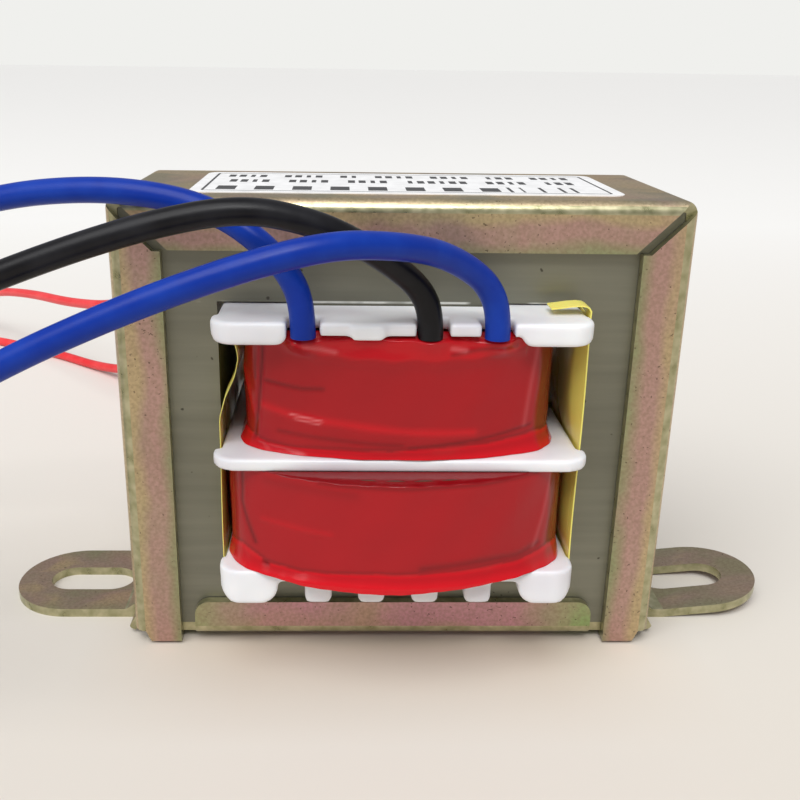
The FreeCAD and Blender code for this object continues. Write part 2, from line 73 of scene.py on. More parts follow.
class Bench:
    """A node tree laid out for one finish."""

    def __init__(self, name: str, metallic: float, roughness: float) -> None:
        """Start a material with a bare surface shader.

        Args:
            name: The material's name.
            metallic: How metallic the surface is.
            roughness: How rough it is, where no pattern sets that.
        """
        self.material = bpy.data.materials.new(name)
        self.material.use_nodes = True
        self.tree = self.material.node_tree
        self.shader = self.tree.nodes["Principled BSDF"]
        self.set("Metallic", metallic)
        self.set("Roughness", roughness)

    def node(self, kind: str) -> bpy.types.Node:
        """Add a node of a kind."""
        return self.tree.nodes.new(kind)

    def feed(self, source: object, socket: Socket) -> None:
        """Link a socket, or set a plain value.

        Args:
            source: An output socket, a number or a colour.
            socket: The input that takes it.
        """
        if isinstance(source, Socket):
            self.tree.links.new(source, socket)
        else:
            socket.default_value = source

    def place(self, stretch: Point = (1, 1, 1), turn: Point = (0, 0, 0)) -> Socket:
        """Give the place on the piece, stretched and turned.

        Args:
            stretch: The factor along each axis.
            turn: The turn about each axis, in radians.

        Returns:
            The vector socket.
        """
        mapping = self.node("ShaderNodeMapping")
        mapping.inputs["Scale"].default_value = stretch
        mapping.inputs["Rotation"].default_value = turn
        self.feed(self.node("ShaderNodeTexCoord").outputs["Object"], mapping.inputs["Vector"])
        return mapping.outputs["Vector"]

    def noise(
        self, scale: float, detail: float = 2.0, vector: Socket | None = None, twist: float = 0.0
    ) -> Socket:
        """Lay a cloudy pattern.

        Args:
            scale: How many clouds fit in a metre.
            detail: How many finer layers are laid over it.
            vector: The place that it is read at.
            twist: How far it is warped.

        Returns:
            The pattern from 0 to 1.
        """
        cloud = self.node("ShaderNodeTexNoise")
        for name, number in (("Scale", scale), ("Detail", detail), ("Distortion", twist)):
            cloud.inputs[name].default_value = number
        self.feed(vector or self.place(), cloud.inputs["Vector"])
        return cloud.outputs["Fac"]

    def ramp(self, value: Socket, *stops: Stop) -> Socket:
        """Colour a value by a row of stops.

        Args:
            value: The value from 0 to 1.
            stops: Each place on the row and its colour.

        Returns:
            The colour.
        """
        band = self.node("ShaderNodeValToRGB")
        elements = band.color_ramp.elements
        while len(elements) < len(stops):
            elements.new(1.0)
        for element, (where, colour) in zip(elements, stops):
            element.position = where
            element.color = colour
        self.feed(value, band.inputs["Fac"])
        return band.outputs["Color"]

    def over(self, amount: object, under: object, top: object) -> Socket:
        """Lay one colour over another.

        Args:
            amount: How much of the top colour shows.
            under: The colour below.
            top: The colour laid over it.

        Returns:
            The mixed colour.
        """
        mixer = self.node("ShaderNodeMix")
        mixer.data_type = "RGBA"
        for place, source in ((0, amount), (6, under), (7, top)):
            self.feed(source, mixer.inputs[place])
        return mixer.outputs[2]

    def sum(self, operation: str, first: object, second: object = 0.0) -> Socket:
        """Work out one number from two.

        Args:
            operation: The name of the sum.
            first: The first number or socket.
            second: The second number or socket.

        Returns:
            The result.
        """
        worker = self.node("ShaderNodeMath")
        worker.operation = operation
        self.feed(first, worker.inputs[0])
        self.feed(second, worker.inputs[1])
        return worker.outputs[0]

    def away(self, value: Socket, middle: float = 0.0) -> Socket:
        """Tell how far a value is from a middle."""
        shifted = self.sum("SUBTRACT", value, middle) if middle else value
        return self.sum("ABSOLUTE", shifted)

    def spread(
        self, value: object, low: float, high: float, to_low: float = 0.0, to_high: float = 1.0
    ) -> Socket:
        """Map a range of a value to another range, clamped.

        Args:
            value: The value.
            low: Where the first range starts.
            high: Where it ends.
            to_low: What low becomes.
            to_high: What high becomes.

        Returns:
            The mapped value.
        """
        mapper = self.node("ShaderNodeMapRange")
        self.feed(value, mapper.inputs["Value"])
        limits = {"From Min": low, "From Max": high, "To Min": to_low, "To Max": to_high}
        for name, number in limits.items():
            mapper.inputs[name].default_value = number
        return mapper.outputs["Result"]

    def axes(self) -> tuple[Socket, Socket, Socket]:
        """Give the place on the piece as three numbers in metres."""
        parts = self.node("ShaderNodeSeparateXYZ")
        self.feed(self.place(), parts.inputs[0])
        return parts.outputs[0], parts.outputs[1], parts.outputs[2]

    def set(self, name: str, value: object) -> None:
        """Set one of the surface's values."""
        self.shader.inputs[name].default_value = value

    def paint(self, colour: object) -> None:
        """Set the surface colour."""
        self.feed(colour, self.shader.inputs["Base Color"])

    def polish(self, value: Socket, smooth: float, rough: float) -> None:
        """Vary the roughness between two levels by a pattern."""
        self.feed(self.spread(value, 0.25, 0.75, smooth, rough), self.shader.inputs["Roughness"])

    def emboss(self, height: Socket, strength: float, depth: float) -> None:
        """Raise the surface by a pattern.

        Args:
            height: The pattern.
            strength: How strongly it shows.
            depth: How deep it is, in metres.
        """
        bump = self.node("ShaderNodeBump")
        bump.inputs["Strength"].default_value = strength
        bump.inputs["Distance"].default_value = depth
        self.feed(height, bump.inputs["Height"])
        self.feed(bump.outputs["Normal"], self.shader.inputs["Normal"])


@dataclass(frozen=True)
class Mottle:
    """A finish of two tones in soft clouds, with a fine grain where it has one."""

    name: str
    scale: float
    low: Stop
    high: Stop
    smooth: float
    rough: float
    detail: float = 2.0
    metallic: float = 0.0
    grain: tuple[float, ...] = ()
    settings: tuple[tuple[str, object], ...] = ()

    def material(self) -> Material:
        """Make the finish."""
        bench = Bench(self.name, self.metallic, self.rough)
        cloud = bench.noise(self.scale, self.detail)
        bench.paint(bench.ramp(cloud, self.low, self.high))
        bench.polish(cloud, self.smooth, self.rough)
        for name, value in self.settings:
            bench.set(name, value)
        if self.grain:
            scale, strength, depth = self.grain
            bench.emboss(bench.noise(scale), strength, depth)
        return bench.material


def insulation(colour: str, body: Colour, worn: Colour) -> Mottle:
    """Describe soft PVC insulation of one colour."""
    return Mottle(f"{colour}_insulation", 260, (0.42, body), (0.72, worn), 0.29, 0.42, detail=3.0,
                  grain=(1500, 0.14, 0.00008), settings=(("Specular IOR Level", 0.22),))


INSULATIONS = (
    insulation("blue", tone(3, 46, 148), tone(12, 58, 162)),
    insulation("black", tone(14, 13, 17), tone(30, 30, 34)),
    insulation("red", tone(226, 52, 56), tone(236, 78, 80)),
)
CUT_EDGE = Mottle("passivated_edge", 900, (0.3, tone(152, 150, 114)), (0.7, tone(196, 190, 156)),
                  0.25, 0.4, metallic=0.9)
TINNED_WIRE = Mottle("tinned_wire", 1800, (0.3, tone(168, 168, 166)), (0.7, tone(206, 206, 204)),
                     0.24, 0.4, metallic=1.0)
LABEL_PAPER = Mottle("label_paper", 900, (0.3, tone(240, 240, 240)), (0.7, tone(250, 250, 250)), 0.36, 0.5)
LABEL_INK = Mottle("label_ink", 900, (0.3, tone(34, 34, 36)), (0.8, tone(70, 70, 72)), 0.36, 0.5)
MOULDED_NYLON = Mottle(
    "white_nylon", 140, (0.3, tone(222, 220, 226)), (0.65, tone(238, 240, 242)), 0.28, 0.4,
    grain=(1300, 0.1, 0.0001),
    settings=(
        ("Subsurface Weight", 0.2),
        ("Subsurface Radius", (0.001, 0.0008, 0.0007)),
        ("Subsurface Scale", 1.0),
    ),
)


class SheetPart(Enum):
    """Which folded sheet a steel finish is for."""

    FRAME = "passivated_frame"
    PLATE = "passivated_plate"


@dataclass(frozen=True)
class PassivatedSteel:
    """Zinc plate under a yellow passivate that blooms pink and green, with a painted highlight on the
    frame's bends.
    """

    tan: Colour = tone(200, 178, 140)
    pink: Colour = tone(192, 156, 146)
    green: Colour = tone(158, 162, 124)
    grey: Colour = tone(168, 158, 128)
    dark: Colour = tone(124, 106, 80)
    flange_side: Span = (0.0204, 0.0252)
    flange_top: Span = (0.0382, 0.0430)
    bend_highlight_side: Span = (0.0243, 0.0248)
    bend_highlight_top: Span = (0.0421, 0.0426)
    bend_highlight_depth: Span = (0.0098, 0.0103)
    lip_ends: Span = (0.012, 0.0185)
    ear_root: Span = (0.0225, 0.0245)
    ear_rims: Span = (0.0044, 0.0062)

    def across_frame(self, bench: Bench) -> Socket:
        """Colour the frame's flanges in bands from their inner to their outer edge, with a painted
        highlight along the outer bends.
        """
        x, y, z = bench.axes()
        across = bench.sum("MAXIMUM", bench.spread(bench.away(x), *self.flange_side),
                           bench.spread(z, *self.flange_top))
        wander = bench.noise(95, 3.0, twist=0.6)
        across = bench.sum("ADD", across, bench.spread(wander, 0.2, 0.8, -0.2, 0.2))
        band = bench.ramp(across, (0.0, self.green), (0.1, self.grey), (0.26, self.pink),
                          (0.46, self.pink), (0.64, self.tan), (0.94, self.tan), (1.0, self.grey))
        # Painted highlight: a paler tone laid along the outer bends, where light catches them.
        corner = bench.sum("MAXIMUM", bench.spread(bench.away(x), *self.bend_highlight_side),
                           bench.spread(z, *self.bend_highlight_top))
        bend = bench.sum("MULTIPLY", corner, bench.spread(bench.away(y), *self.bend_highlight_depth, 0.0, 0.34))
        return bench.over(bend, band, tone(228, 214, 184))

    def across_plate(self, bench: Bench) -> Socket:
        """Colour the plate pink in the middle, green at the lips' ends and mauve on the ears."""
        x, y, z = bench.axes()
        away = bench.away(x)
        middle = bench.ramp(bench.noise(120, 3.0, twist=0.5), (0.32, tone(192, 162, 138)),
                            (0.56, tone(202, 150, 158)))
        wander = bench.sum("ADD", away, bench.spread(bench.noise(150, 2.0), 0.2, 0.8, -0.003, 0.003))
        lip = bench.over(bench.spread(wander, *self.lip_ends), middle, tone(150, 174, 116))
        ear = bench.ramp(bench.noise(170, 3.0, twist=0.6), (0.34, self.grey), (0.5, tone(180, 158, 140)),
                         (0.66, self.tan))
        rims = bench.spread(bench.away(y), *self.ear_rims, 0.0, 0.6)
        ear = bench.over(rims, ear, self.green)
        return bench.over(bench.spread(away, *self.ear_root), lip, ear)

    def material(self, part: SheetPart) -> Material:
        """Make the finish.

        Args:
            part: The sheet that it is for.

        Returns:
            The material.
        """
        bench = Bench(part.value, 0.9, 0.42)
        band = self.across_frame(bench) if part is SheetPart.FRAME else self.across_plate(bench)
        cloud = bench.noise(160, 4.0, bench.place((1.0, 1.0, 0.55)), 0.8)
        band = bench.over(bench.spread(cloud, 0.5, 0.72, 0.0, 0.45), band, self.pink)
        band = bench.over(bench.spread(cloud, 0.46, 0.28, 0.0, 0.3), band, self.green)
        grain = bench.noise(3200, 2.0)
        band = bench.over(bench.spread(grain, 0.35, 0.68, 0.0, 0.34), band, self.dark)
        crowd = bench.spread(bench.noise(130, 2.0), 0.4, 0.75, 0.76, 0.68)
        pits = bench.sum("GREATER_THAN", bench.noise(3300, 1.0), crowd)
        band = bench.over(bench.sum("MULTIPLY", pits, 0.6), band, tone(74, 62, 48))
        bench.paint(band)
        bench.polish(bench.noise(240, 3.0), 0.34, 0.52)
        bench.emboss(grain, 0.18, 0.00008)
        return bench.material


@dataclass(frozen=True)
class LaminationSteel:
    """Silicon steel sheet with a grey-olive coat and a painted highlight along the joint."""

    seam_height: float = 0.0338
    seam_highlight_width: float = 0.00013

    def material(self) -> Material:
        """Make the finish."""
        bench = Bench("lamination_steel", 0.75, 0.45)
        cloud = bench.noise(70, 3.0, bench.place((0.6, 1.0, 1.0)))
        rolled = bench.noise(900, 3.0, bench.place((0.05, 1.0, 1.0)))
        face = bench.ramp(cloud, (0.3, tone(122, 121, 108)), (0.7, tone(138, 137, 122)))
        face = bench.over(bench.spread(rolled, 0.3, 0.7, 0.0, 0.3), face, tone(98, 96, 84))
        # Painted highlight: a thin bright line along the joint between the I and E sheets.
        away = bench.away(bench.axes()[2], self.seam_height)
        seam_highlight = bench.spread(away, self.seam_highlight_width, 0.00006)
        patchy = bench.spread(bench.noise(260, 2.0), 0.42, 0.55)
        face = bench.over(bench.sum("MULTIPLY", seam_highlight, patchy), face, tone(236, 236, 228))
        specks = bench.spread(bench.noise(1100, 1.0), 0.74, 0.78)
        face = bench.over(bench.sum("MULTIPLY", specks, 0.8), face, tone(58, 54, 46))
        bench.paint(face)
        bench.polish(rolled, 0.38, 0.52)
        bench.emboss(rolled, 0.12, 0.00005)
        return bench.material


@dataclass(frozen=True)
class PolyesterTape:
    """Glossy red tape, clear enough for the copper below to warm it, with painted highlight and painted
    shade laid on by the tape_tone attribute.
    """

    flat: Colour = tone(164, 14, 24)
    # bright: the doubled tape layer, partly a painted highlight.
    bright: Colour = tone(202, 12, 26)
    # dark: painted shade in creases and under the flanges.
    dark: Colour = tone(92, 6, 12)
    amber: Colour = tone(124, 44, 24)
    # pale: painted highlight along creases.
    pale: Colour = tone(216, 110, 112)

    def material(self) -> Material:
        """Make the finish, which reads the tape_tone attribute."""
        bench = Bench("red_tape", 0.0, 0.2)
        layer = bench.node("ShaderNodeAttribute")
        layer.attribute_name = "tape_tone"
        parts = bench.node("ShaderNodeSeparateColor")
        bench.feed(layer.outputs["Color"], parts.inputs[0])
        cloud = bench.noise(210, 3.0, bench.place((0.5, 0.5, 1.0)))
        face = bench.over(bench.spread(cloud, 0.4, 0.7, 0.0, 0.2), self.flat, tone(150, 10, 18))
        face = bench.over(parts.outputs[1], face, self.amber)
        # Painted highlight on rims and raised folds, partly the doubled tape layer.
        face = bench.over(parts.outputs[0], face, self.bright)
        # Painted shade in creases and under the flanges.
        face = bench.over(parts.outputs[2], face, self.dark)
        # Painted highlight along creases.
        face = bench.over(layer.outputs["Alpha"], face, self.pale)
        bench.paint(face)
        bench.set("Specular IOR Level", 0.32)
        bench.polish(cloud, 0.12, 0.24)
        bench.emboss(bench.noise(420, 3.0, bench.place((0.35, 0.35, 1.0))), 0.16, 0.0003)
        return bench.material


@dataclass(frozen=True)
class YellowFilm:
    """Thin straw-yellow insulating film, its front strip painted lighter as if lit from the front."""

    light: Colour = tone(226, 216, 118)
    deep: Colour = tone(204, 184, 84)
    lit: Colour = tone(244, 230, 116)
    lit_front_span: Span = (0.0108, 0.0116)

    def material(self) -> Material:
        """Make the finish."""
        bench = Bench("yellow_film", 0.0, 0.3)
        cloud = bench.noise(180, 2.0, bench.place((1.0, 1.0, 0.4)))
        sheet = bench.ramp(cloud, (0.35, self.deep), (0.6, self.light))
        # Painted light: the film's front strip takes the lit tone.
        outside = bench.spread(bench.away(bench.axes()[1]), *self.lit_front_span)
        bench.paint(bench.over(outside, sheet, self.lit))
        bench.set("Subsurface Weight", 0.15)
        bench.set("Subsurface Scale", 0.0005)
        bench.polish(cloud, 0.22, 0.36)
        bench.emboss(cloud, 0.15, 0.0002)
        return bench.material


@dataclass(frozen=True)
class EnamelledCopper:
    """Round copper wire under clear enamel, wound side by side."""

    def material(self) -> Material:
        """Make the finish."""
        bench = Bench("enamelled_wire", 0.85, 0.3)
        wave = bench.node("ShaderNodeTexWave")
        wave.bands_direction = "Z"
        wave.inputs["Scale"].default_value = 700
        bench.feed(bench.place(), wave.inputs["Vector"])
        bench.paint(bench.ramp(wave.outputs["Fac"], (0.1, tone(96, 44, 20)), (0.7, tone(196, 112, 58))))
        bench.emboss(wave.outputs["Fac"], 0.6, 0.0002)
        return bench.material


def start_clean() -> None:
    """Leave edit mode and deselect every object."""
    if bpy.context.object and bpy.context.object.mode != "OBJECT":
        bpy.ops.object.mode_set(mode="OBJECT")
    for thing in bpy.context.selected_objects:
        thing.select_set(False)


def open_mesh() -> None:
    """Enter edit mode with everything selected."""
    bpy.ops.object.mode_set(mode="EDIT")
    bpy.ops.mesh.select_all(action="SELECT")


def close_mesh() -> None:
    """Turn every face outward and leave edit mode."""
    bpy.ops.mesh.select_all(action="SELECT")
    bpy.ops.mesh.normals_make_consistent(inside=False)
    bpy.ops.object.mode_set(mode="OBJECT")


def new_piece(name: str) -> Piece:
    """Name the object that was just made."""
    bpy.context.object.name = name
    return bpy.context.object


def link(thing: Piece) -> Piece:
    """Put an object in the scene."""
    bpy.context.scene.collection.objects.link(thing)
    return thing


def take(piece: Piece) -> None:
    """Make one piece the only selected and active one."""
    start_clean()
    piece.select_set(True)
    bpy.context.view_layer.objects.active = piece


def smooth(piece: Piece, degrees: float) -> None:
    """Shade a piece smooth but for its sharper edges."""
    take(piece)
    bpy.ops.object.shade_smooth_by_angle(angle=math.radians(degrees))


def new_grid(name: str, columns: int, rows: int) -> Piece:
    """Lay a flat grid of unit size, with a number of faces each way."""
    start_clean()
    bpy.ops.mesh.primitive_grid_add(
        x_subdivisions=columns, y_subdivisions=rows, size=1.0, location=(0, 0, 0)
    )
    return new_piece(name)


def apply_modifier(piece: Piece, kind: str, **settings: object) -> None:
    """Add a modifier with its settings and apply it.

    Args:
        piece: The piece that it shapes.
        kind: The modifier's kind.
        settings: Its settings by name.
    """
    take(piece)
    modifier = piece.modifiers.new(kind.lower(), kind)
    for name, value in settings.items():
        setattr(modifier, name, value)
    bpy.ops.object.modifier_apply(modifier=modifier.name)


def fit_out(
    piece: Piece, slot: str, nodes: Sequence[str], *finishes: Material
) -> Piece:
    """Give a piece its materials and its body, and hide the CAD nodes that it stands for.

    Args:
        piece: The finished piece.
        slot: The material slot's name. Not used.
        nodes: The CAD nodes that it replaces.
        finishes: Its materials in order.

    Returns:
        The same piece.
    """
    piece.data.materials.clear()
    for finish in finishes:
        piece.data.materials.append(finish)
    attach(piece, "root")
    if nodes:
        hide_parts(*nodes)
    return piece


@dataclass
class Studio:
    """Camera, floor and soft light."""

    eye: Point = (-0.005079, -0.091821, 0.053477)
    focal_pixels: float = 963.233
    centre: Span = (363.96, 397.25)
    yaw: float = 1.369
    pitch: float = 19.137
    roll: float = 0.762
    picture: int = 800
    sensor: float = 36.0
    floor_radius: float = 9.0

    def set_camera(self) -> None:
        """Stand the camera where the photograph was taken."""
        yaw, pitch, roll = (math.radians(angle) for angle in (self.yaw, self.pitch, self.roll))
        level_share = math.cos(pitch)
        ahead = Vector((math.sin(yaw) * level_share, math.cos(yaw) * level_share, -math.sin(pitch)))
        level = Vector((math.cos(yaw), -math.sin(yaw), 0.0))
        upright = level.cross(ahead)
        right = level * math.cos(roll) + upright * math.sin(roll)
        up = upright * math.cos(roll) - level * math.sin(roll)
        lens = bpy.data.cameras.new("portrait_camera")
        lens.sensor_width = self.sensor
        lens.lens = self.focal_pixels / self.picture * self.sensor
        lens.shift_x = (self.picture / 2 - self.centre[0]) / self.picture
        lens.shift_y = (self.centre[1] - self.picture / 2) / self.picture
        lens.clip_start = 0.005
        camera = link(bpy.data.objects.new("portrait_camera", lens))
        place = Matrix((right, up, -ahead)).transposed().to_4x4()
        place.translation = Vector(self.eye)
        camera.matrix_world = place
        bpy.context.scene.camera = camera

    def lay_floor(self) -> None:
        """Lay a wide pale floor, painted darker towards the front, with a painted warm reflection in front
        of the transformer.
        """
        start_clean()
        bpy.ops.mesh.primitive_circle_add(vertices=96, radius=self.floor_radius, fill_type="NGON")
        floor = new_piece("pale_floor")
        bench = Bench("pale_floor", 0.0, 0.75)
        bench.set("Specular IOR Level", 0.2)
        x, y, z = bench.axes()
        # Painted shade: the floor darkens towards the front.
        painted_floor_shading = bench.ramp(bench.spread(y, -0.12, 0.25), (0.0, tone(210, 202, 190)),
                                (1.0, tone(244, 243, 240)))
        # Painted reflection: a warm glow on the floor just in front of the transformer.
        painted_glow_band = bench.sum("MULTIPLY", bench.spread(y, -0.026, -0.012), bench.spread(y, 0.02, 0.0))
        near = bench.sum("MULTIPLY", painted_glow_band,
                         bench.spread(bench.away(x), 0.030, 0.014, 0.0, 0.34))
        bench.paint(bench.over(near, painted_floor_shading, tone(188, 150, 112)))
        floor.data.materials.append(bench.material)

    def hang_lamps(self) -> None:
        """Hang soft panels over the bench and set the room's light."""
        for name, kind, place, size, power in (
            ("light_above", "SUN", (-0.22, -0.45, 0.87), math.radians(50), 2.05),
            ("panel_left", "AREA", (-0.8, -0.5, 0.6), 0.6, 1.6),
            ("panel_window", "AREA", (0.02, -0.52, 0.62), 0.16, 1.2),
        ):
            lamp = bpy.data.lights.new(name, kind)
            if kind == "SUN":
                lamp.angle = size
            else:
                lamp.size = size
            lamp.energy = power
            thing = link(bpy.data.objects.new(name, lamp))
            thing.location = place
            aim = Vector((0.0, 0.0, 0.02)) - Vector(place)
            thing.rotation_euler = aim.to_track_quat("-Z", "Y").to_euler()
        world = bpy.data.worlds.new("room")
        world.use_nodes = True
        bpy.context.scene.world = world
        tree = world.node_tree
        glow = tree.nodes["Background"]
        backdrop = tree.nodes.new("ShaderNodeBackground")
        path = tree.nodes.new("ShaderNodeLightPath")
        switch = tree.nodes.new("ShaderNodeMixShader")
        tree.links.new(path.outputs["Is Camera Ray"], switch.inputs[0])
        for place, shader, colour, strength in (
            (1, glow, tone(250, 250, 252), 0.42), (2, backdrop, tone(240, 240, 237), 1.0),
        ):
            shader.inputs["Color"].default_value = colour
            shader.inputs["Strength"].default_value = strength
            tree.links.new(shader.outputs[0], switch.inputs[place])
        tree.links.new(switch.outputs[0], tree.nodes["World Output"].inputs[0])
        bpy.context.scene.view_settings.view_transform = "Standard"


def metre(value: float) -> float:
    """Turn millimetres into metres, with no rounding tail."""
    return round(value / 1000, 7)


def metres(place: Point) -> Point:
    """Turn a place in millimetres into metres."""
    return (metre(place[0]), metre(place[1]), metre(place[2]))


@dataclass
class Lead:
    """One flying lead with its bare twisted end, in millimetres."""

    winding: str
    mark: str
    diameter: float
    length: float
    tip_radius: float
    route: tuple[Point, ...]
    tip_length: float = 5.0
    strands: int = 7
    twists: float = 1.5
    steps: int = 18

    def slot(self) -> str:
        """Name the insulation's material slot."""
        return self.mark.split("_")[0] + "_insulation"

    def cord(self, finish: Material) -> Piece:
        """Lay the insulated lead along its route.

        Args:
            finish: The insulation's material.

        Returns:
            The curve piece.
        """
        node = f"{self.winding}_lead_{self.mark}"
        line = bpy.data.curves.new(node, "CURVE")
        line.dimensions = "3D"
        spline = line.splines.new("NURBS")
        spline.points.add(len(self.route) - 1)
        for knot, place in zip(spline.points, self.route):
            knot.co = (*metres(place), 1.0)
        spline.order_u = 3
        spline.use_endpoint_u = True
        spline.resolution_u = 12
        line.bevel_depth = metre(self.diameter) / 2
        line.bevel_resolution = 6
        line.use_fill_caps = True
        piece = link(bpy.data.objects.new("pvc_" + node, line))
        return fit_out(piece, self.slot(), [node], finish)

    def bare_end(self, finish: Material) -> Piece:
        """Twist seven strands and stand them on the lead's far end.

        Args:
            finish: The wire's material.

        Returns:
            The strand bundle.
        """
        start_clean()
        node = f"{self.winding}_tip_{self.mark}"
        strand = metre(self.tip_radius) / 3
        bpy.ops.mesh.primitive_circle_add(vertices=10, radius=strand, fill_type="NOTHING")
        bundle = new_piece("strands_" + node)
        bpy.ops.object.mode_set(mode="EDIT")
        for turn in range(self.strands - 1):
            angle = 2 * math.pi * turn / (self.strands - 1)
            spot = (2 * strand * math.cos(angle), 2 * strand * math.sin(angle), 0.0)
            bpy.ops.mesh.primitive_circle_add(
                vertices=10, radius=strand, location=spot, fill_type="NOTHING"
            )
        bpy.ops.mesh.select_all(action="SELECT")
        turn = 2 * math.pi * self.twists / self.steps
        for _ in range(self.steps):
            bpy.ops.mesh.extrude_edges_move()
            bpy.ops.transform.translate(value=(0, 0, metre(self.tip_length) / self.steps))
            bpy.ops.transform.rotate(value=turn, orient_axis="Z", center_override=(0, 0, 0))
        bpy.ops.mesh.select_all(action="SELECT")
        bpy.ops.mesh.select_non_manifold()
        bpy.ops.mesh.fill_holes(sides=12)
        close_mesh()
        smooth(bundle, 50)
        end = Vector(metres(self.route[-1]))
        ahead = (end - Vector(metres(self.route[-2]))).normalized()
        turned = ahead.to_track_quat("Z", "Y").to_matrix().to_4x4()
        bundle.data.transform(Matrix.Translation(end) @ turned)
        return fit_out(bundle, "tinned_wire", [node], finish)

    def build(self, insulation: Material, wire: Material) -> None:
        cord = self.cord(insulation)
        end = self.bare_end(wire)
        LOG.info("lead %s", cord.name)


LEADS = (
    Lead("secondary", "blue_left", 2.1, 129.2, 0.6, (
        (-8.3, -16, 32.3), (-8.3, -16, 35), (-9.4, -16.1, 37.7), (-11.6, -15.8, 40), (-14.6, -15, 42),
        (-19, -14, 43.3), (-25.6, -12.6, 43.7), (-33.7, -10.6, 42.7), (-43.6, -8.4, 39.6),
        (-55.5, -6, 33.5), (-68, -3.4, 24.8), (-79.5, -0.6, 14.4), (-89.5, 2.4, 5.2), (-98, 5.8, 1.05),
        (-106, 10.4, 1.05), (-112.5, 16.2, 1.05),
    )),
    Lead("secondary", "black", 2.1, 124.4, 0.6, (
        (2.1, -16, 32.3), (2.1, -16, 34.4), (1.1, -16.3, 36.5), (-0.8, -17.2, 38.3),
        (-3.5, -18.5, 40.3), (-7.3, -19.5, 42.2), (-12.6, -20.1, 43.3), (-19.4, -20.7, 42.1),
        (-27.6, -21.4, 39.5), (-36.6, -21.7, 35.9), (-46.6, -21.2, 30), (-57, -20.2, 21.2),
        (-67.5, -18.8, 11.8), (-76.5, -17, 4), (-85, -14.5, 1.05), (-93.5, -10.9, 1.05),
        (-101, -6.2, 1.05),
    )),
    Lead("secondary", "blue_right", 2.1, 116.7, 0.6, (
        (7.6, -16, 32.3), (7.6, -16, 34.5), (6.6, -16.4, 36.8), (4.7, -17.5, 38.5), (1.9, -19.6, 40.1),
        (-1.6, -22.3, 41), (-6, -24.6, 41.4), (-12.2, -25.8, 40), (-20.3, -26.1, 37.1),
        (-30.2, -26.1, 32.6), (-40.8, -25.5, 26.2), (-52, -24.6, 17.6), (-62, -23.7, 7.8),
        (-70.5, -22.7, 1.05), (-80, -21, 1.05), (-89, -18.3, 1.05),
    )),
    Lead("primary", "red_left", 1.55, 155.4, 0.4, (
        (-7.6, 16, 32.3), (-7.6, 16, 35), (-8.1, 17.3, 37.4), (-9.1, 19.5, 39), (-10.9, 23.2, 39.5),
        (-14.2, 28.3, 37.9), (-20, 34.7, 33), (-28.6, 43.2, 25), (-38.7, 53.3, 17.7),
        (-50.1, 66.3, 14.9), (-62, 81, 13.2), (-74, 95.2, 10.2), (-84.5, 107.6, 4.2),
        (-93, 116.4, 0.775), (-102.5, 122.6, 0.775),
    )),
    Lead("primary", "red_right", 1.55, 140.6, 0.4, (
        (-2.3, 16, 32.3), (-2.3, 16, 35), (-2.7, 17.3, 37.4), (-3.5, 19.4, 39), (-5.2, 22.9, 39.2),
        (-8.4, 27.8, 36.6), (-14, 34.4, 30.4), (-22.4, 44.2, 20.2), (-31.2, 54.8, 10.6),
        (-39.6, 65.4, 3.6), (-48.4, 75.4, 0.775), (-59.4, 84.6, 0.775), (-70.4, 91.5, 0.775),
        (-81.5, 97, 0.775), (-91, 100.4, 0.775),
    )),
)


def welded_copy(node: str, sharp: float = 50.0) -> Piece:
    """Copy a CAD node, weld its loose faces, merge flat ones and select its sharp edges.

    Args:
        node: The node's name.
        sharp: The least angle of a sharp edge, in degrees.

    Returns:
        The copy.
    """
    piece = link(bpy.data.objects.new("finished_" + node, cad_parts[node].data.copy()))
    take(piece)
    bpy.ops.mesh.customdata_custom_splitnormals_clear()
    open_mesh()
    bpy.ops.mesh.remove_doubles(threshold=2e-6)
    bpy.ops.mesh.dissolve_limited(angle_limit=math.radians(0.6))
    bpy.ops.mesh.select_all(action="DESELECT")
    bpy.ops.mesh.edges_select_sharp(sharpness=math.radians(sharp))
    bpy.ops.object.mode_set(mode="OBJECT")
    return piece


@dataclass
class FoldedSheet:
    """A folded sheet's own shape, with a finish of its own on its cut edges."""

    node: str
    slot: str
    gauge: float = 0.0009
    gauge_slack: float = 1.02
    sharp_share: float = 0.7

    def build(self, face: Material, edge: Material) -> None:
        """Weld the sheet and give its narrow sharp-sided faces the edge's finish.

        Args:
            face: The sheet's material.
            edge: The cut edges' material.
        """
        piece = welded_copy(self.node)
        mesh = piece.data
        sharp = {tuple(sorted(side.vertices)) for side in mesh.edges if side.select}
        cut = []
        for polygon in mesh.polygons:
            around, hard = 0.0, 0.0
            for pair in polygon.edge_keys:
                length = (mesh.vertices[pair[0]].co - mesh.vertices[pair[1]].co).length
                around += length
                hard += length if tuple(sorted(pair)) in sharp else 0.0
            narrow = 2 * polygon.area / around < self.gauge_slack * self.gauge
            cut.append(narrow and hard > self.sharp_share * around)
        smooth(piece, 40)
        apply_modifier(piece, "WEIGHTED_NORMAL", keep_sharp=True)
        fit_out(piece, self.slot, [self.node], face, edge)
        for polygon, narrow in zip(mesh.polygons, cut):
            polygon.material_index = int(narrow)
        LOG.info("folded sheet %s, %d cut faces", self.node, sum(cut))


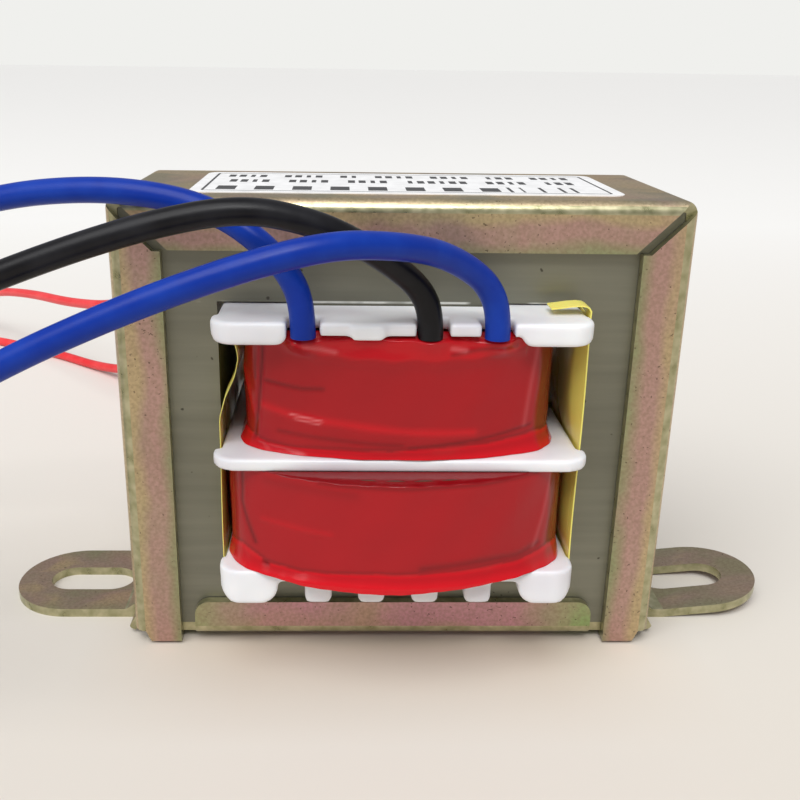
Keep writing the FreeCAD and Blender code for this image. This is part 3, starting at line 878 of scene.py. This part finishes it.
@dataclass
class MouldedNode:
    """A moulded CAD node, remeshed finely and smoothed so that every edge is soft."""

    node: str
    slot: str
    voxel: float = 0.00022
    rounds: int = 5
    kept: float = 0.25

    def build(self, finish: Material) -> None:
        """Remesh and smooth the node.

        Args:
            finish: The plastic's material.
        """
        piece = welded_copy(self.node)
        apply_modifier(piece, "REMESH", mode="VOXEL", voxel_size=self.voxel)
        apply_modifier(piece, "SMOOTH", factor=0.5, iterations=self.rounds)
        apply_modifier(piece, "DECIMATE", decimate_type="COLLAPSE", ratio=self.kept)
        take(piece)
        bpy.ops.object.shade_smooth()
        fit_out(piece, self.slot, [self.node], finish)
        LOG.info("moulded %s, %d faces", self.node, len(piece.data.polygons))


def along(line: Path, runs: np.ndarray) -> np.ndarray:
    """Read a line, given by its points, at each run."""
    return np.interp(runs, [point[0] for point in line], [point[1] for point in line])


def unit(values: np.ndarray) -> np.ndarray:
    """Keep values between 0 and 1."""
    return np.clip(values, 0.0, 1.0)


def hump(away: np.ndarray, width: float) -> np.ndarray:
    """Give 1 at no distance, fading to 0 over a width."""
    return np.exp(-((away / width) ** 2))


@dataclass(frozen=True)
class CoilOutline:
    """The plan outline that a coil's tape follows, in millimetres."""

    half: float
    front: float
    corner: float
    bulge: float

    def quarter(self) -> tuple[float, float, float]:
        """Give the lengths of the front arc, the corner arc and the side."""
        corner_x = self.half - self.corner
        angle = math.asin(corner_x / (self.bulge - self.corner))
        drop = math.sqrt((self.bulge - self.corner) ** 2 - corner_x**2)
        return self.bulge * angle, self.corner * (math.pi / 2 - angle), self.front - self.bulge + drop

    def point(self, run: float, gap: float) -> Span:
        """Find a place on the outline.

        Args:
            run: The way along it from the middle of the front, to the right.
            gap: How far outside the outline the place is.

        Returns:
            The place across and in depth.
        """
        arc, bend, side = self.quarter()
        way = abs(run)
        rear = way > arc + bend + side
        if rear:
            way = 2 * (arc + bend + side) - way
        if way < arc:
            angle = way / self.bulge
            x = self.bulge * math.sin(angle)
            y = -self.front + self.bulge * (1 - math.cos(angle))
        elif way < arc + bend:
            angle = arc / self.bulge + (way - arc) / self.corner
            x = self.half - self.corner + self.corner * math.sin(angle)
            y = -(side + self.corner * math.cos(angle))
        else:
            angle = math.pi / 2
            x = self.half
            y = -(side - (way - arc - bend))
        x += gap * math.sin(angle)
        y -= gap * math.cos(angle)
        return (x if run >= 0 else -x), (-y if rear else y)


class Tint(IntEnum):
    """The tones of the tape, by their place in the tape_tone attribute: the doubled tape layer with a
    painted highlight, copper showing through, painted shade, and painted highlight along creases.
    """

    BRIGHT = 0
    AMBER = 1
    DARK = 2
    PALE = 3


@dataclass(frozen=True)
class Fold:
    """One crease in a tape, by its way along the coil and its height, in millimetres, with a tint that is
    painted highlight or painted shade.
    """

    path: Path
    width: float
    height: float
    tint: Tint
    strength: float

    def nearness(self, runs: np.ndarray, heights: np.ndarray) -> np.ndarray:
        """Tell how near each place is to the crease.

        Args:
            runs: The ways along the coil.
            heights: The heights.

        Returns:
            1 on the crease, fading to 0 beside it.
        """
        best = np.full(runs.shape, 1e9)
        for (run_a, height_a), (run_b, height_b) in zip(self.path, self.path[1:]):
            step = np.array([run_b - run_a, height_b - height_a])
            share = ((runs - run_a) * step[0] + (heights - height_a) * step[1]) / max(step @ step, 1e-9)
            share = unit(share)
            away = np.hypot(runs - run_a - share * step[0], heights - height_a - share * step[1])
            best = np.minimum(best, away)
        return hump(best, self.width)


@dataclass
class TapeJacket:
    """Red tape wound round one coil, flared over the flange below it."""

    name: str
    node: str
    outline: CoilOutline
    bottom: float
    top: float
    rim_runs: tuple[float, ...]
    rim_heights: tuple[float, ...]
    rim_flare: tuple[float, ...]
    low_edge: Path
    high_edge: Path
    folds: tuple[Fold, ...]
    top_band: Path = ()
    lead_runs: Path = ()
    amber_right: float = 12.0
    amber_left: float = -12.6
    gap_runs: Path = ((0.0, 0.4),)
    wall: float = 0.08
    ledge_depth: float = 16.62
    ledge_reach: float = 30.0
    ledge_height: float = 20.66
    front_run: float = 19.0
    fine_step: float = 0.2
    coarse_step: float = 0.42
    rear_fade: float = 6.0
    side_run: float = 22.0
    lead_width: float = 1.35
    lead_drop: float = 1.9

    def columns(self) -> np.ndarray:
        """Space the columns closely at the front and wider elsewhere."""
        end = 2 * sum(self.outline.quarter())
        fine = np.arange(-self.front_run, self.front_run + 0.001, self.fine_step)
        count = int((end - self.front_run) / self.coarse_step) + 2
        right = np.linspace(self.front_run, end, count)[1:]
        return np.concatenate([-right[::-1], fine, right])

    def lift(self, runs: np.ndarray, heights: np.ndarray) -> tuple[np.ndarray, np.ndarray]:
        """Work out how far the tape stands off the coil, and its tones, some of which are painted
        highlight and painted shade.

        Args:
            runs: The ways along the coil.
            heights: The heights.

        Returns:
            The gap in millimetres, and the four tones from 0 to 1.
        """
        end = 2 * sum(self.outline.quarter())
        fade = unit((np.abs(runs) - end + self.rear_fade) / self.rear_fade)
        gap = along(self.gap_runs, runs)
        gap = gap + 0.05 * np.sin(runs * 0.41 + heights * 0.5)
        gap = gap + 0.035 * np.sin(runs * 1.13 - heights * 0.9)
        tones = np.zeros((*runs.shape, len(Tint)))
        rim = np.interp(runs, self.rim_runs, self.rim_heights) + 0.02 * np.sin(runs * 2.3)
        flare = np.interp(runs, self.rim_runs, self.rim_flare)
        share = unit(1.0 - (heights - self.bottom) / rim)
        ripple = 1.0 + (0.07 * np.sin(runs * 1.3) + 0.04 * np.sin(runs * 3.7 + 1.0)) * (1 - fade)
        gap = gap + flare * ripple * share**1.2
        edge = hump(share - 1.0, 0.4) + 0.6 * hump(share - 0.15, 0.12)
        # The rim is brighter for the doubled tape and a painted highlight; a painted shade line runs just
        # above it.
        tones[..., Tint.BRIGHT] = unit(0.3 + 0.8 * edge) * (share > 0.02)
        tones[..., Tint.DARK] = 0.4 * hump(heights - self.bottom - rim - 0.12, 0.16)
        if self.top_band:
            line = along(self.top_band, runs) + 0.08 * np.sin(runs * 1.9)
            inside = (runs > self.top_band[0][0]) & (runs < self.top_band[-1][0])
            step = unit((heights - line) / 0.25) * inside
            gap = gap + 0.16 * hump(heights - line, 0.7) * inside
            # The band above the top line is brighter for the doubled tape, partly a painted highlight.
            tones[..., Tint.BRIGHT] = np.maximum(tones[..., Tint.BRIGHT], 0.6 * step)
            for place, swell in self.lead_runs:
                near = hump(runs - place, self.lead_width)
                rise = unit((heights - self.top + self.lead_drop) / self.lead_drop)
                gap = gap + swell * near * rise**1.3
        right = unit((runs - self.amber_right) / 0.7) * (runs < self.side_run)
        left = unit((self.amber_left - runs) / 0.6) * (runs > -self.side_run)
        tones[..., Tint.AMBER] = unit(right + 0.3 * left)
        # Each fold raises or dents the tape and lays its tone, a painted highlight or painted shade.
        for fold in self.folds:
            near = fold.nearness(runs, heights)
            gap = gap + fold.height * near
            layer = tones[..., fold.tint]
            tones[..., fold.tint] = np.maximum(layer, fold.strength * near)
        return gap, tones

    def build(self, finish: Material) -> None:
        """Wrap a sheet round the coil.

        Args:
            finish: The tape's material.
        """
        columns = self.columns()
        rows = np.concatenate([np.linspace(0.0, 1.0, 60), 1.0 + np.linspace(0.12, 1.0, 8)])
        piece = new_grid(self.name, len(columns) - 1, len(rows) - 1)
        mesh = piece.data
        flat = np.array([vertex.co[:] for vertex in mesh.vertices])
        across = np.rint((flat[:, 0] + 0.5) * (len(columns) - 1)).astype(int)
        upward = np.rint((flat[:, 1] + 0.5) * (len(rows) - 1)).astype(int)
        runs = columns[across]
        low = along(self.low_edge, runs)
        high = along(self.high_edge, runs) + 0.05 * np.sin(runs * 2.7) * (np.abs(runs) < 11)
        brim = np.array([abs(self.outline.point(float(run), 0.4)[1]) for run in runs])
        ledge = np.clip(brim - self.ledge_depth, 0.0, 9.0)
        ledge = ledge * (np.abs(np.abs(runs) - self.ledge_reach) > 2.0)
        high = high - 0.14 * unit(ledge)
        heights = low + (high - low) * unit(rows[upward])
        fold_in = unit(rows[upward] - 1.0) * math.pi / 2
        gap, tones = self.lift(runs, heights)
        # Painted shade on the primary tape's shoulder, under the middle flange.
        tones[..., Tint.DARK] = np.maximum(tones[..., Tint.DARK], 0.6 * (fold_in > 0) * (self.top < 25))
        heights = heights + np.sin(fold_in) * (self.ledge_height - high) * (ledge > 0)
        layer = mesh.color_attributes.new("tape_tone", "FLOAT_COLOR", "POINT")
        for vertex in mesh.vertices:
            index = vertex.index
            x, y = self.outline.point(float(runs[index]), float(gap[index]))
            if fold_in[index] > 0:
                inset = max(abs(y) - self.ledge_depth, 0.0) * (1.0 - math.cos(fold_in[index]))
                y -= math.copysign(inset, y)
            vertex.co = (x * MM, y * MM, float(heights[index]) * MM)
            layer.data[index].color = tones[index]
        take(piece)
        open_mesh()
        bpy.ops.mesh.remove_doubles(threshold=2e-5)
        bpy.ops.object.mode_set(mode="OBJECT")
        apply_modifier(piece, "SOLIDIFY", thickness=self.wall * MM, offset=-1.0)
        smooth(piece, 55)
        fit_out(piece, "red_tape", [self.node], finish)
        LOG.info("tape %s, %d faces", self.name, len(mesh.polygons))


SECONDARY_TAPE = TapeJacket(
    name="wrapped_secondary_tape",
    node="secondary_tape",
    outline=CoilOutline(13.3, 16.1, 4.0, 30.0),
    bottom=21.72,
    top=32.3,
    rim_runs=(-30.0, -14.0, -12.2, -9.9, -5.8, -0.7, 2.4, 7.3, 11.9, 14.6, 30.0),
    rim_heights=(0.9, 1.4, 0.8, 0.55, 0.7, 0.75, 1.0, 1.25, 1.7, 1.6, 0.9),
    rim_flare=(0.3, 0.6, 0.5, 0.35, 0.25, 0.2, 0.25, 0.35, 0.6, 0.6, 0.3),
    low_edge=((-60.0, 21.74), (60.0, 21.74)),
    high_edge=(
        (-60.0, 32.2), (-10.8, 32.2), (-9.9, 31.75), (-7.1, 31.9), (-4.4, 32.25), (-0.8, 32.3),
        (3.2, 32.2), (5.7, 31.95), (8.8, 32.05), (9.6, 32.2), (60.0, 32.2),
    ),
    top_band=(
        (-9.2, 31.7), (-8.3, 31.3), (-6.7, 30.6), (-0.8, 30.4), (4.1, 30.4), (7.3, 30.6), (10.4, 31.2),
    ),
    lead_runs=((-8.5, 1.9), (2.1, 0.8), (7.8, 1.6)),
    gap_runs=((-40.0, 0.4), (-12.0, 0.4), (6.0, 0.38), (13.0, 0.06), (24.0, 0.06), (34.0, 0.4)),
    ledge_depth=14.4,
    ledge_height=32.44,
    amber_right=11.7,
    amber_left=-12.5,
    # Dark-tinted folds are painted shade in creases; bright and pale-tinted folds are painted highlights
    # along raised folds.
    folds=(
        Fold(((-12.7, 31.2), (-12.8, 28.0)), 0.12, -0.03, Tint.DARK, 0.55),
        Fold(((-11.9, 31.5), (-12.4, 25.5), (-12.9, 22.6)), 0.17, -0.06, Tint.DARK, 0.75),
        Fold(((-14.5, 28.5), (-12.9, 25.0)), 0.4, 0.12, Tint.BRIGHT, 0.4),
        Fold(((-11.7, 28.0), (-8.5, 27.6), (-6.7, 27.7)), 0.2, -0.06, Tint.DARK, 0.55),
        Fold(
            ((-11.8, 25.8), (-9.5, 25.2), (-4.0, 24.6), (1.0, 24.1), (6.0, 24.0)),
            0.38, 0.07, Tint.BRIGHT, 0.75,
        ),
        Fold(((-9.5, 25.3), (-6.7, 24.9)), 0.09, 0.03, Tint.PALE, 0.9),
        Fold(((-9.1, 24.9), (-6.9, 24.6)), 0.09, 0.03, Tint.PALE, 0.75),
        Fold(((-10.6, 23.6), (-5.0, 23.2), (0.0, 22.9)), 0.22, -0.05, Tint.DARK, 0.4),
        Fold(((-7.9, 31.5), (-5.6, 31.1)), 0.2, 0.1, Tint.PALE, 0.5),
        Fold(((3.9, 31.0), (7.2, 31.6), (9.4, 31.5)), 0.2, 0.12, Tint.DARK, 0.5),
        Fold(((3.9, 31.5), (5.0, 31.3)), 0.2, 0.05, Tint.PALE, 0.5),
        Fold(((11.7, 31.4), (11.2, 27.8), (10.8, 24.2)), 0.22, 0.03, Tint.PALE, 0.22),
        Fold(((0.5, 22.7), (6.5, 23.3), (11.5, 24.1)), 0.16, -0.05, Tint.DARK, 0.6),
    ),
)

PRIMARY_TAPE = TapeJacket(
    name="wrapped_primary_tape",
    node="primary_tape",
    outline=CoilOutline(14.8, 18.9, 4.5, 26.0),
    bottom=11.05,
    top=20.6,
    rim_runs=(-34.0, -16.6, -14.4, -11.8, -8.5, -2.2, 2.8, 6.6, 10.7, 14.2, 16.5, 34.0),
    rim_heights=(0.9, 1.8, 2.2, 1.1, 0.8, 1.2, 1.3, 1.4, 1.4, 2.0, 1.8, 0.9),
    rim_flare=(0.3, 0.35, 0.5, 0.5, 0.45, 0.5, 0.45, 0.45, 0.5, 0.5, 0.4, 0.3),
    low_edge=(
        (-70.0, 11.08), (-14.0, 11.1), (-12.6, 11.08), (-8.4, 10.7), (-3.6, 10.58), (0.0, 10.55),
        (5.2, 10.85), (10.8, 11.08), (70.0, 11.08),
    ),
    high_edge=((-70.0, 20.56), (70.0, 20.56)),
    gap_runs=(
        (-50.0, 0.3), (-14.0, 0.3), (0.0, 0.4), (10.0, 0.2), (14.5, -0.2), (28.0, -0.2), (40.0, 0.3),
    ),
    amber_right=13.6,
    amber_left=-14.6,
    # Dark-tinted folds are painted shade in creases and under the flange; bright and pale-tinted folds are
    # painted highlights.
    folds=(
        Fold(((-14.3, 20.4), (-14.4, 17.3), (-13.0, 13.7)), 0.22, -0.05, Tint.DARK, 0.7),
        Fold(((-12.2, 16.1), (-8.6, 15.8), (-6.0, 15.6)), 0.3, 0.05, Tint.BRIGHT, 0.3),
        Fold(((-12.1, 12.1), (-11.7, 11.95)), 0.2, -0.05, Tint.DARK, 0.9),
        Fold(((-7.0, 20.35), (0.0, 20.2), (7.0, 20.3), (12.0, 20.5)), 0.2, -0.05, Tint.DARK, 0.5),
        Fold(((1.8, 12.7), (6.6, 13.0), (10.7, 12.9), (12.8, 13.5)), 0.36, -0.06, Tint.DARK, 0.5),
        Fold(((14.0, 20.3), (13.2, 16.5), (12.3, 13.4)), 0.22, 0.03, Tint.PALE, 0.2),
        Fold(((-11.8, 19.9), (-4.0, 19.6)), 0.5, 0.04, Tint.DARK, 0.2),
    ),
)


@dataclass
class WindowFilm:
    """One sheet of film between a coil and the core's outer leg, in millimetres."""

    name: str
    node: str
    half_depth: float
    high: float
    bends: Path
    curl: Path = ()
    curl_depth: float = 2.1
    wall: float = 0.12
    low: float = 10.15
    rows: int = 40
    bow: float = 0.0
    bow_fade: float = 2.6
    bays: Path = ((11.3, 20.4), (21.9, 32.3))
    columns: int = 54
    ripple: float = 0.05

    def inward(self, depth: float, height: float) -> float:
        """Give how far the film bows towards the coils at a place."""
        share = min(max((self.half_depth - abs(depth)) / self.bow_fade, 0.0), 1.0)
        for low, high in self.bays:
            if low < height < high:
                return self.bow * share * math.sin(math.pi * (height - low) / (high - low)) ** 0.5
        return 0.0

    def build(self, finish: Material) -> None:
        """Bend a flat sheet along its heights and its curl.

        Args:
            finish: The film's material.
        """
        heights = np.linspace(self.low, self.high, self.rows)
        line = [*zip(along(self.bends, heights), heights), *self.curl]
        piece = new_grid(self.name, self.columns, len(line) - 1)
        for vertex in piece.data.vertices:
            share = vertex.co.x + 0.5
            row = round((vertex.co.y + 0.5) * (len(line) - 1))
            depth = -self.half_depth + 2 * self.half_depth * share
            across, height = line[row]
            wave = self.ripple * math.sin(depth * 0.9 + height * 0.3) if row < self.rows else 0.0
            across += wave - self.inward(depth, height)
            vertex.co = (across * MM, depth * MM, height * MM)
        if self.curl:
            take(piece)
            bpy.ops.object.mode_set(mode="EDIT")
            bpy.ops.mesh.select_all(action="DESELECT")
            bpy.ops.object.mode_set(mode="OBJECT")
            top = self.high * MM + 1e-6
            front = (self.curl_depth - self.half_depth) * MM
            for vertex in piece.data.vertices:
                vertex.select = vertex.co.z > top and vertex.co.y > front
            bpy.ops.object.mode_set(mode="EDIT")
            bpy.ops.mesh.delete(type="VERT")
            bpy.ops.object.mode_set(mode="OBJECT")
        apply_modifier(piece, "SOLIDIFY", thickness=self.wall * MM, offset=0.0)
        smooth(piece, 50)
        fit_out(piece, "yellow_film", [self.node], finish)
        LOG.info("film %s", self.name)


LEFT_FILM = WindowFilm(
    "formed_film_left", "window_film_left", 13.0, 32.3,
    ((24.1, -15.8), (26.0, -15.25), (28.0, -14.3), (29.65, -13.95), (31.0, -14.2), (32.4, -14.8)),
    wall=0.07,
)
RIGHT_FILM = WindowFilm(
    "formed_film_right", "window_film_right", 13.6, 33.5, ((33.5, 15.8),),
    (
        (15.78, 34.0), (15.6, 34.3), (15.3, 34.44), (14.8, 34.48), (14.0, 34.42), (13.2, 34.3),
        (12.4, 34.2),
    ),
    bow=0.6,
)


@dataclass(frozen=True)
class PrintRow:
    """A row of plain blocks: its place, its ends, a block's width, gap and depth, and the groups."""

    place: float
    start: float
    end: float
    block: tuple[float, float, float]
    words: tuple[int, ...]


@dataclass
class RatingLabel:
    """The paper label on top, with a border line and plain bars for its print."""

    left: float = -18.5
    right: float = 19.6
    half_depth: float = 7.8
    base: float = 42.81
    rise: float = 0.09
    corner: float = 1.3
    border_inset: float = 1.0
    border_width: float = 0.24
    ink_rise: float = 0.008
    thin_share: float = 0.62
    rows: tuple[PrintRow, ...] = (
        PrintRow(-4.7, -16.3, 8.9, (1.7, 0.0, 2.6), (1, 1, 1, 1, 1, 1, 1, 1)),
        PrintRow(-4.5, 9.7, 15.8, (0.3, 1.5, 3.4), (1, 3, 1)),
        PrintRow(0.6, -15.7, 16.6, (0.66, 0.34, 2.0), (4, 4, 4, 6, 4, 3)),
        PrintRow(4.6, -16.2, 16.9, (0.66, 0.34, 1.8), (4, 4, 2, 4, 4, 3, 4)),
    )

    def sheet(self, paper: Material, ink: Material) -> None:
        """Make the paper with its border line.

        Args:
            paper: The paper's material.
            ink: The border's material.
        """
        start_clean()
        middle = ((self.left + self.right) / 2 * MM, 0.0, self.base * MM)
        bpy.ops.mesh.primitive_plane_add(size=1.0, location=(0, 0, 0))
        piece = new_piece("paper_label")
        size = Matrix.Diagonal(((self.right - self.left) * MM, 2 * self.half_depth * MM, 1.0, 1.0))
        piece.data.transform(Matrix.Translation(middle) @ size)
        for finish in (paper, ink):
            piece.data.materials.append(finish)
        open_mesh()
        bpy.ops.mesh.bevel(offset=self.corner * MM, segments=6, affect="VERTICES")
        bpy.ops.mesh.extrude_region_move(TRANSFORM_OT_translate={"value": (0, 0, self.rise * MM)})
        for width, finish in ((self.border_inset, 1), (self.border_width, 0)):
            bpy.ops.mesh.inset(thickness=width * MM)
            piece.active_material_index = finish
            bpy.ops.object.material_slot_assign()
        close_mesh()
        materials = [face.material_index for face in piece.data.polygons]
        fit_out(piece, "label_film", ["rating_label"], paper, ink)
        for face, index in zip(piece.data.polygons, materials):
            face.material_index = index

    def print_bars(self, ink: Material) -> None:
        """Make rows of plain bars where print would be.

        Args:
            ink: The ink's material.
        """
        start_clean()
        bpy.ops.mesh.primitive_plane_add(size=1.0, location=(0, 0, 0))
        piece = new_piece("printed_bars")
        bpy.ops.object.mode_set(mode="EDIT")
        bpy.ops.mesh.delete(type="VERT")
        top = (self.base + self.rise) * MM
        for row in self.rows:
            wide, gap, tall = row.block
            lengths = [count * (wide + gap) - gap for count in row.words]
            spare = row.end - row.start - sum(lengths)
            x = row.start
            for count, length in zip(row.words, lengths):
                for place in range(count):
                    middle = ((x + place * (wide + gap) + wide / 2) * MM, row.place * MM, top)
                    bpy.ops.mesh.primitive_plane_add(size=1.0, location=middle)
                    share = self.thin_share if (place + count) % 3 == 0 else 1.0
                    size = (wide * share * MM, tall * MM, 1.0)
                    bpy.ops.transform.resize(value=size, center_override=middle)
                x += length + spare / (len(row.words) - 1)
        bpy.ops.mesh.select_all(action="SELECT")
        bpy.ops.mesh.extrude_region_move(TRANSFORM_OT_translate={"value": (0, 0, self.ink_rise * MM)})
        close_mesh()
        fit_out(piece, "label_film", [], ink)

    def build(self, paper: Material, ink: Material) -> None:
        """Make the label and its print."""
        self.sheet(paper, ink)
        self.print_bars(ink)
        LOG.info("label")


def main() -> None:
    """Build the studio and every piece in order."""
    logging.basicConfig(level=logging.INFO, format="%(name)s: %(message)s")
    studio = Studio()
    studio.set_camera()
    wire = TINNED_WIRE.material()
    pvc = {finish.name: finish.material() for finish in INSULATIONS}
    for lead in LEADS:
        lead.build(pvc[lead.slot()], wire)
    studio.lay_floor()
    studio.hang_lamps()
    steel = PassivatedSteel()
    edge = CUT_EDGE.material()
    for node, part in (("clamp_frame", SheetPart.FRAME), ("base_plate", SheetPart.PLATE)):
        FoldedSheet(node, "passivated_steel").build(steel.material(part), edge)
    MouldedNode("bobbin", "white_nylon").build(MOULDED_NYLON.material())
    sheet_steel = LaminationSteel().material()
    copper = EnamelledCopper().material()
    for name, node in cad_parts.items():
        if "laminations" in name:
            node.data.materials[0] = sheet_steel
        if name.endswith("_winding"):
            node.data.materials[0] = copper
    tape = PolyesterTape().material()
    for jacket in (SECONDARY_TAPE, PRIMARY_TAPE):
        jacket.build(tape)
    yellow = YellowFilm().material()
    for film in (LEFT_FILM, RIGHT_FILM):
        film.build(yellow)
    RatingLabel().build(LABEL_PAPER.material(), LABEL_INK.material())


if __name__ == "__main__":
    main()
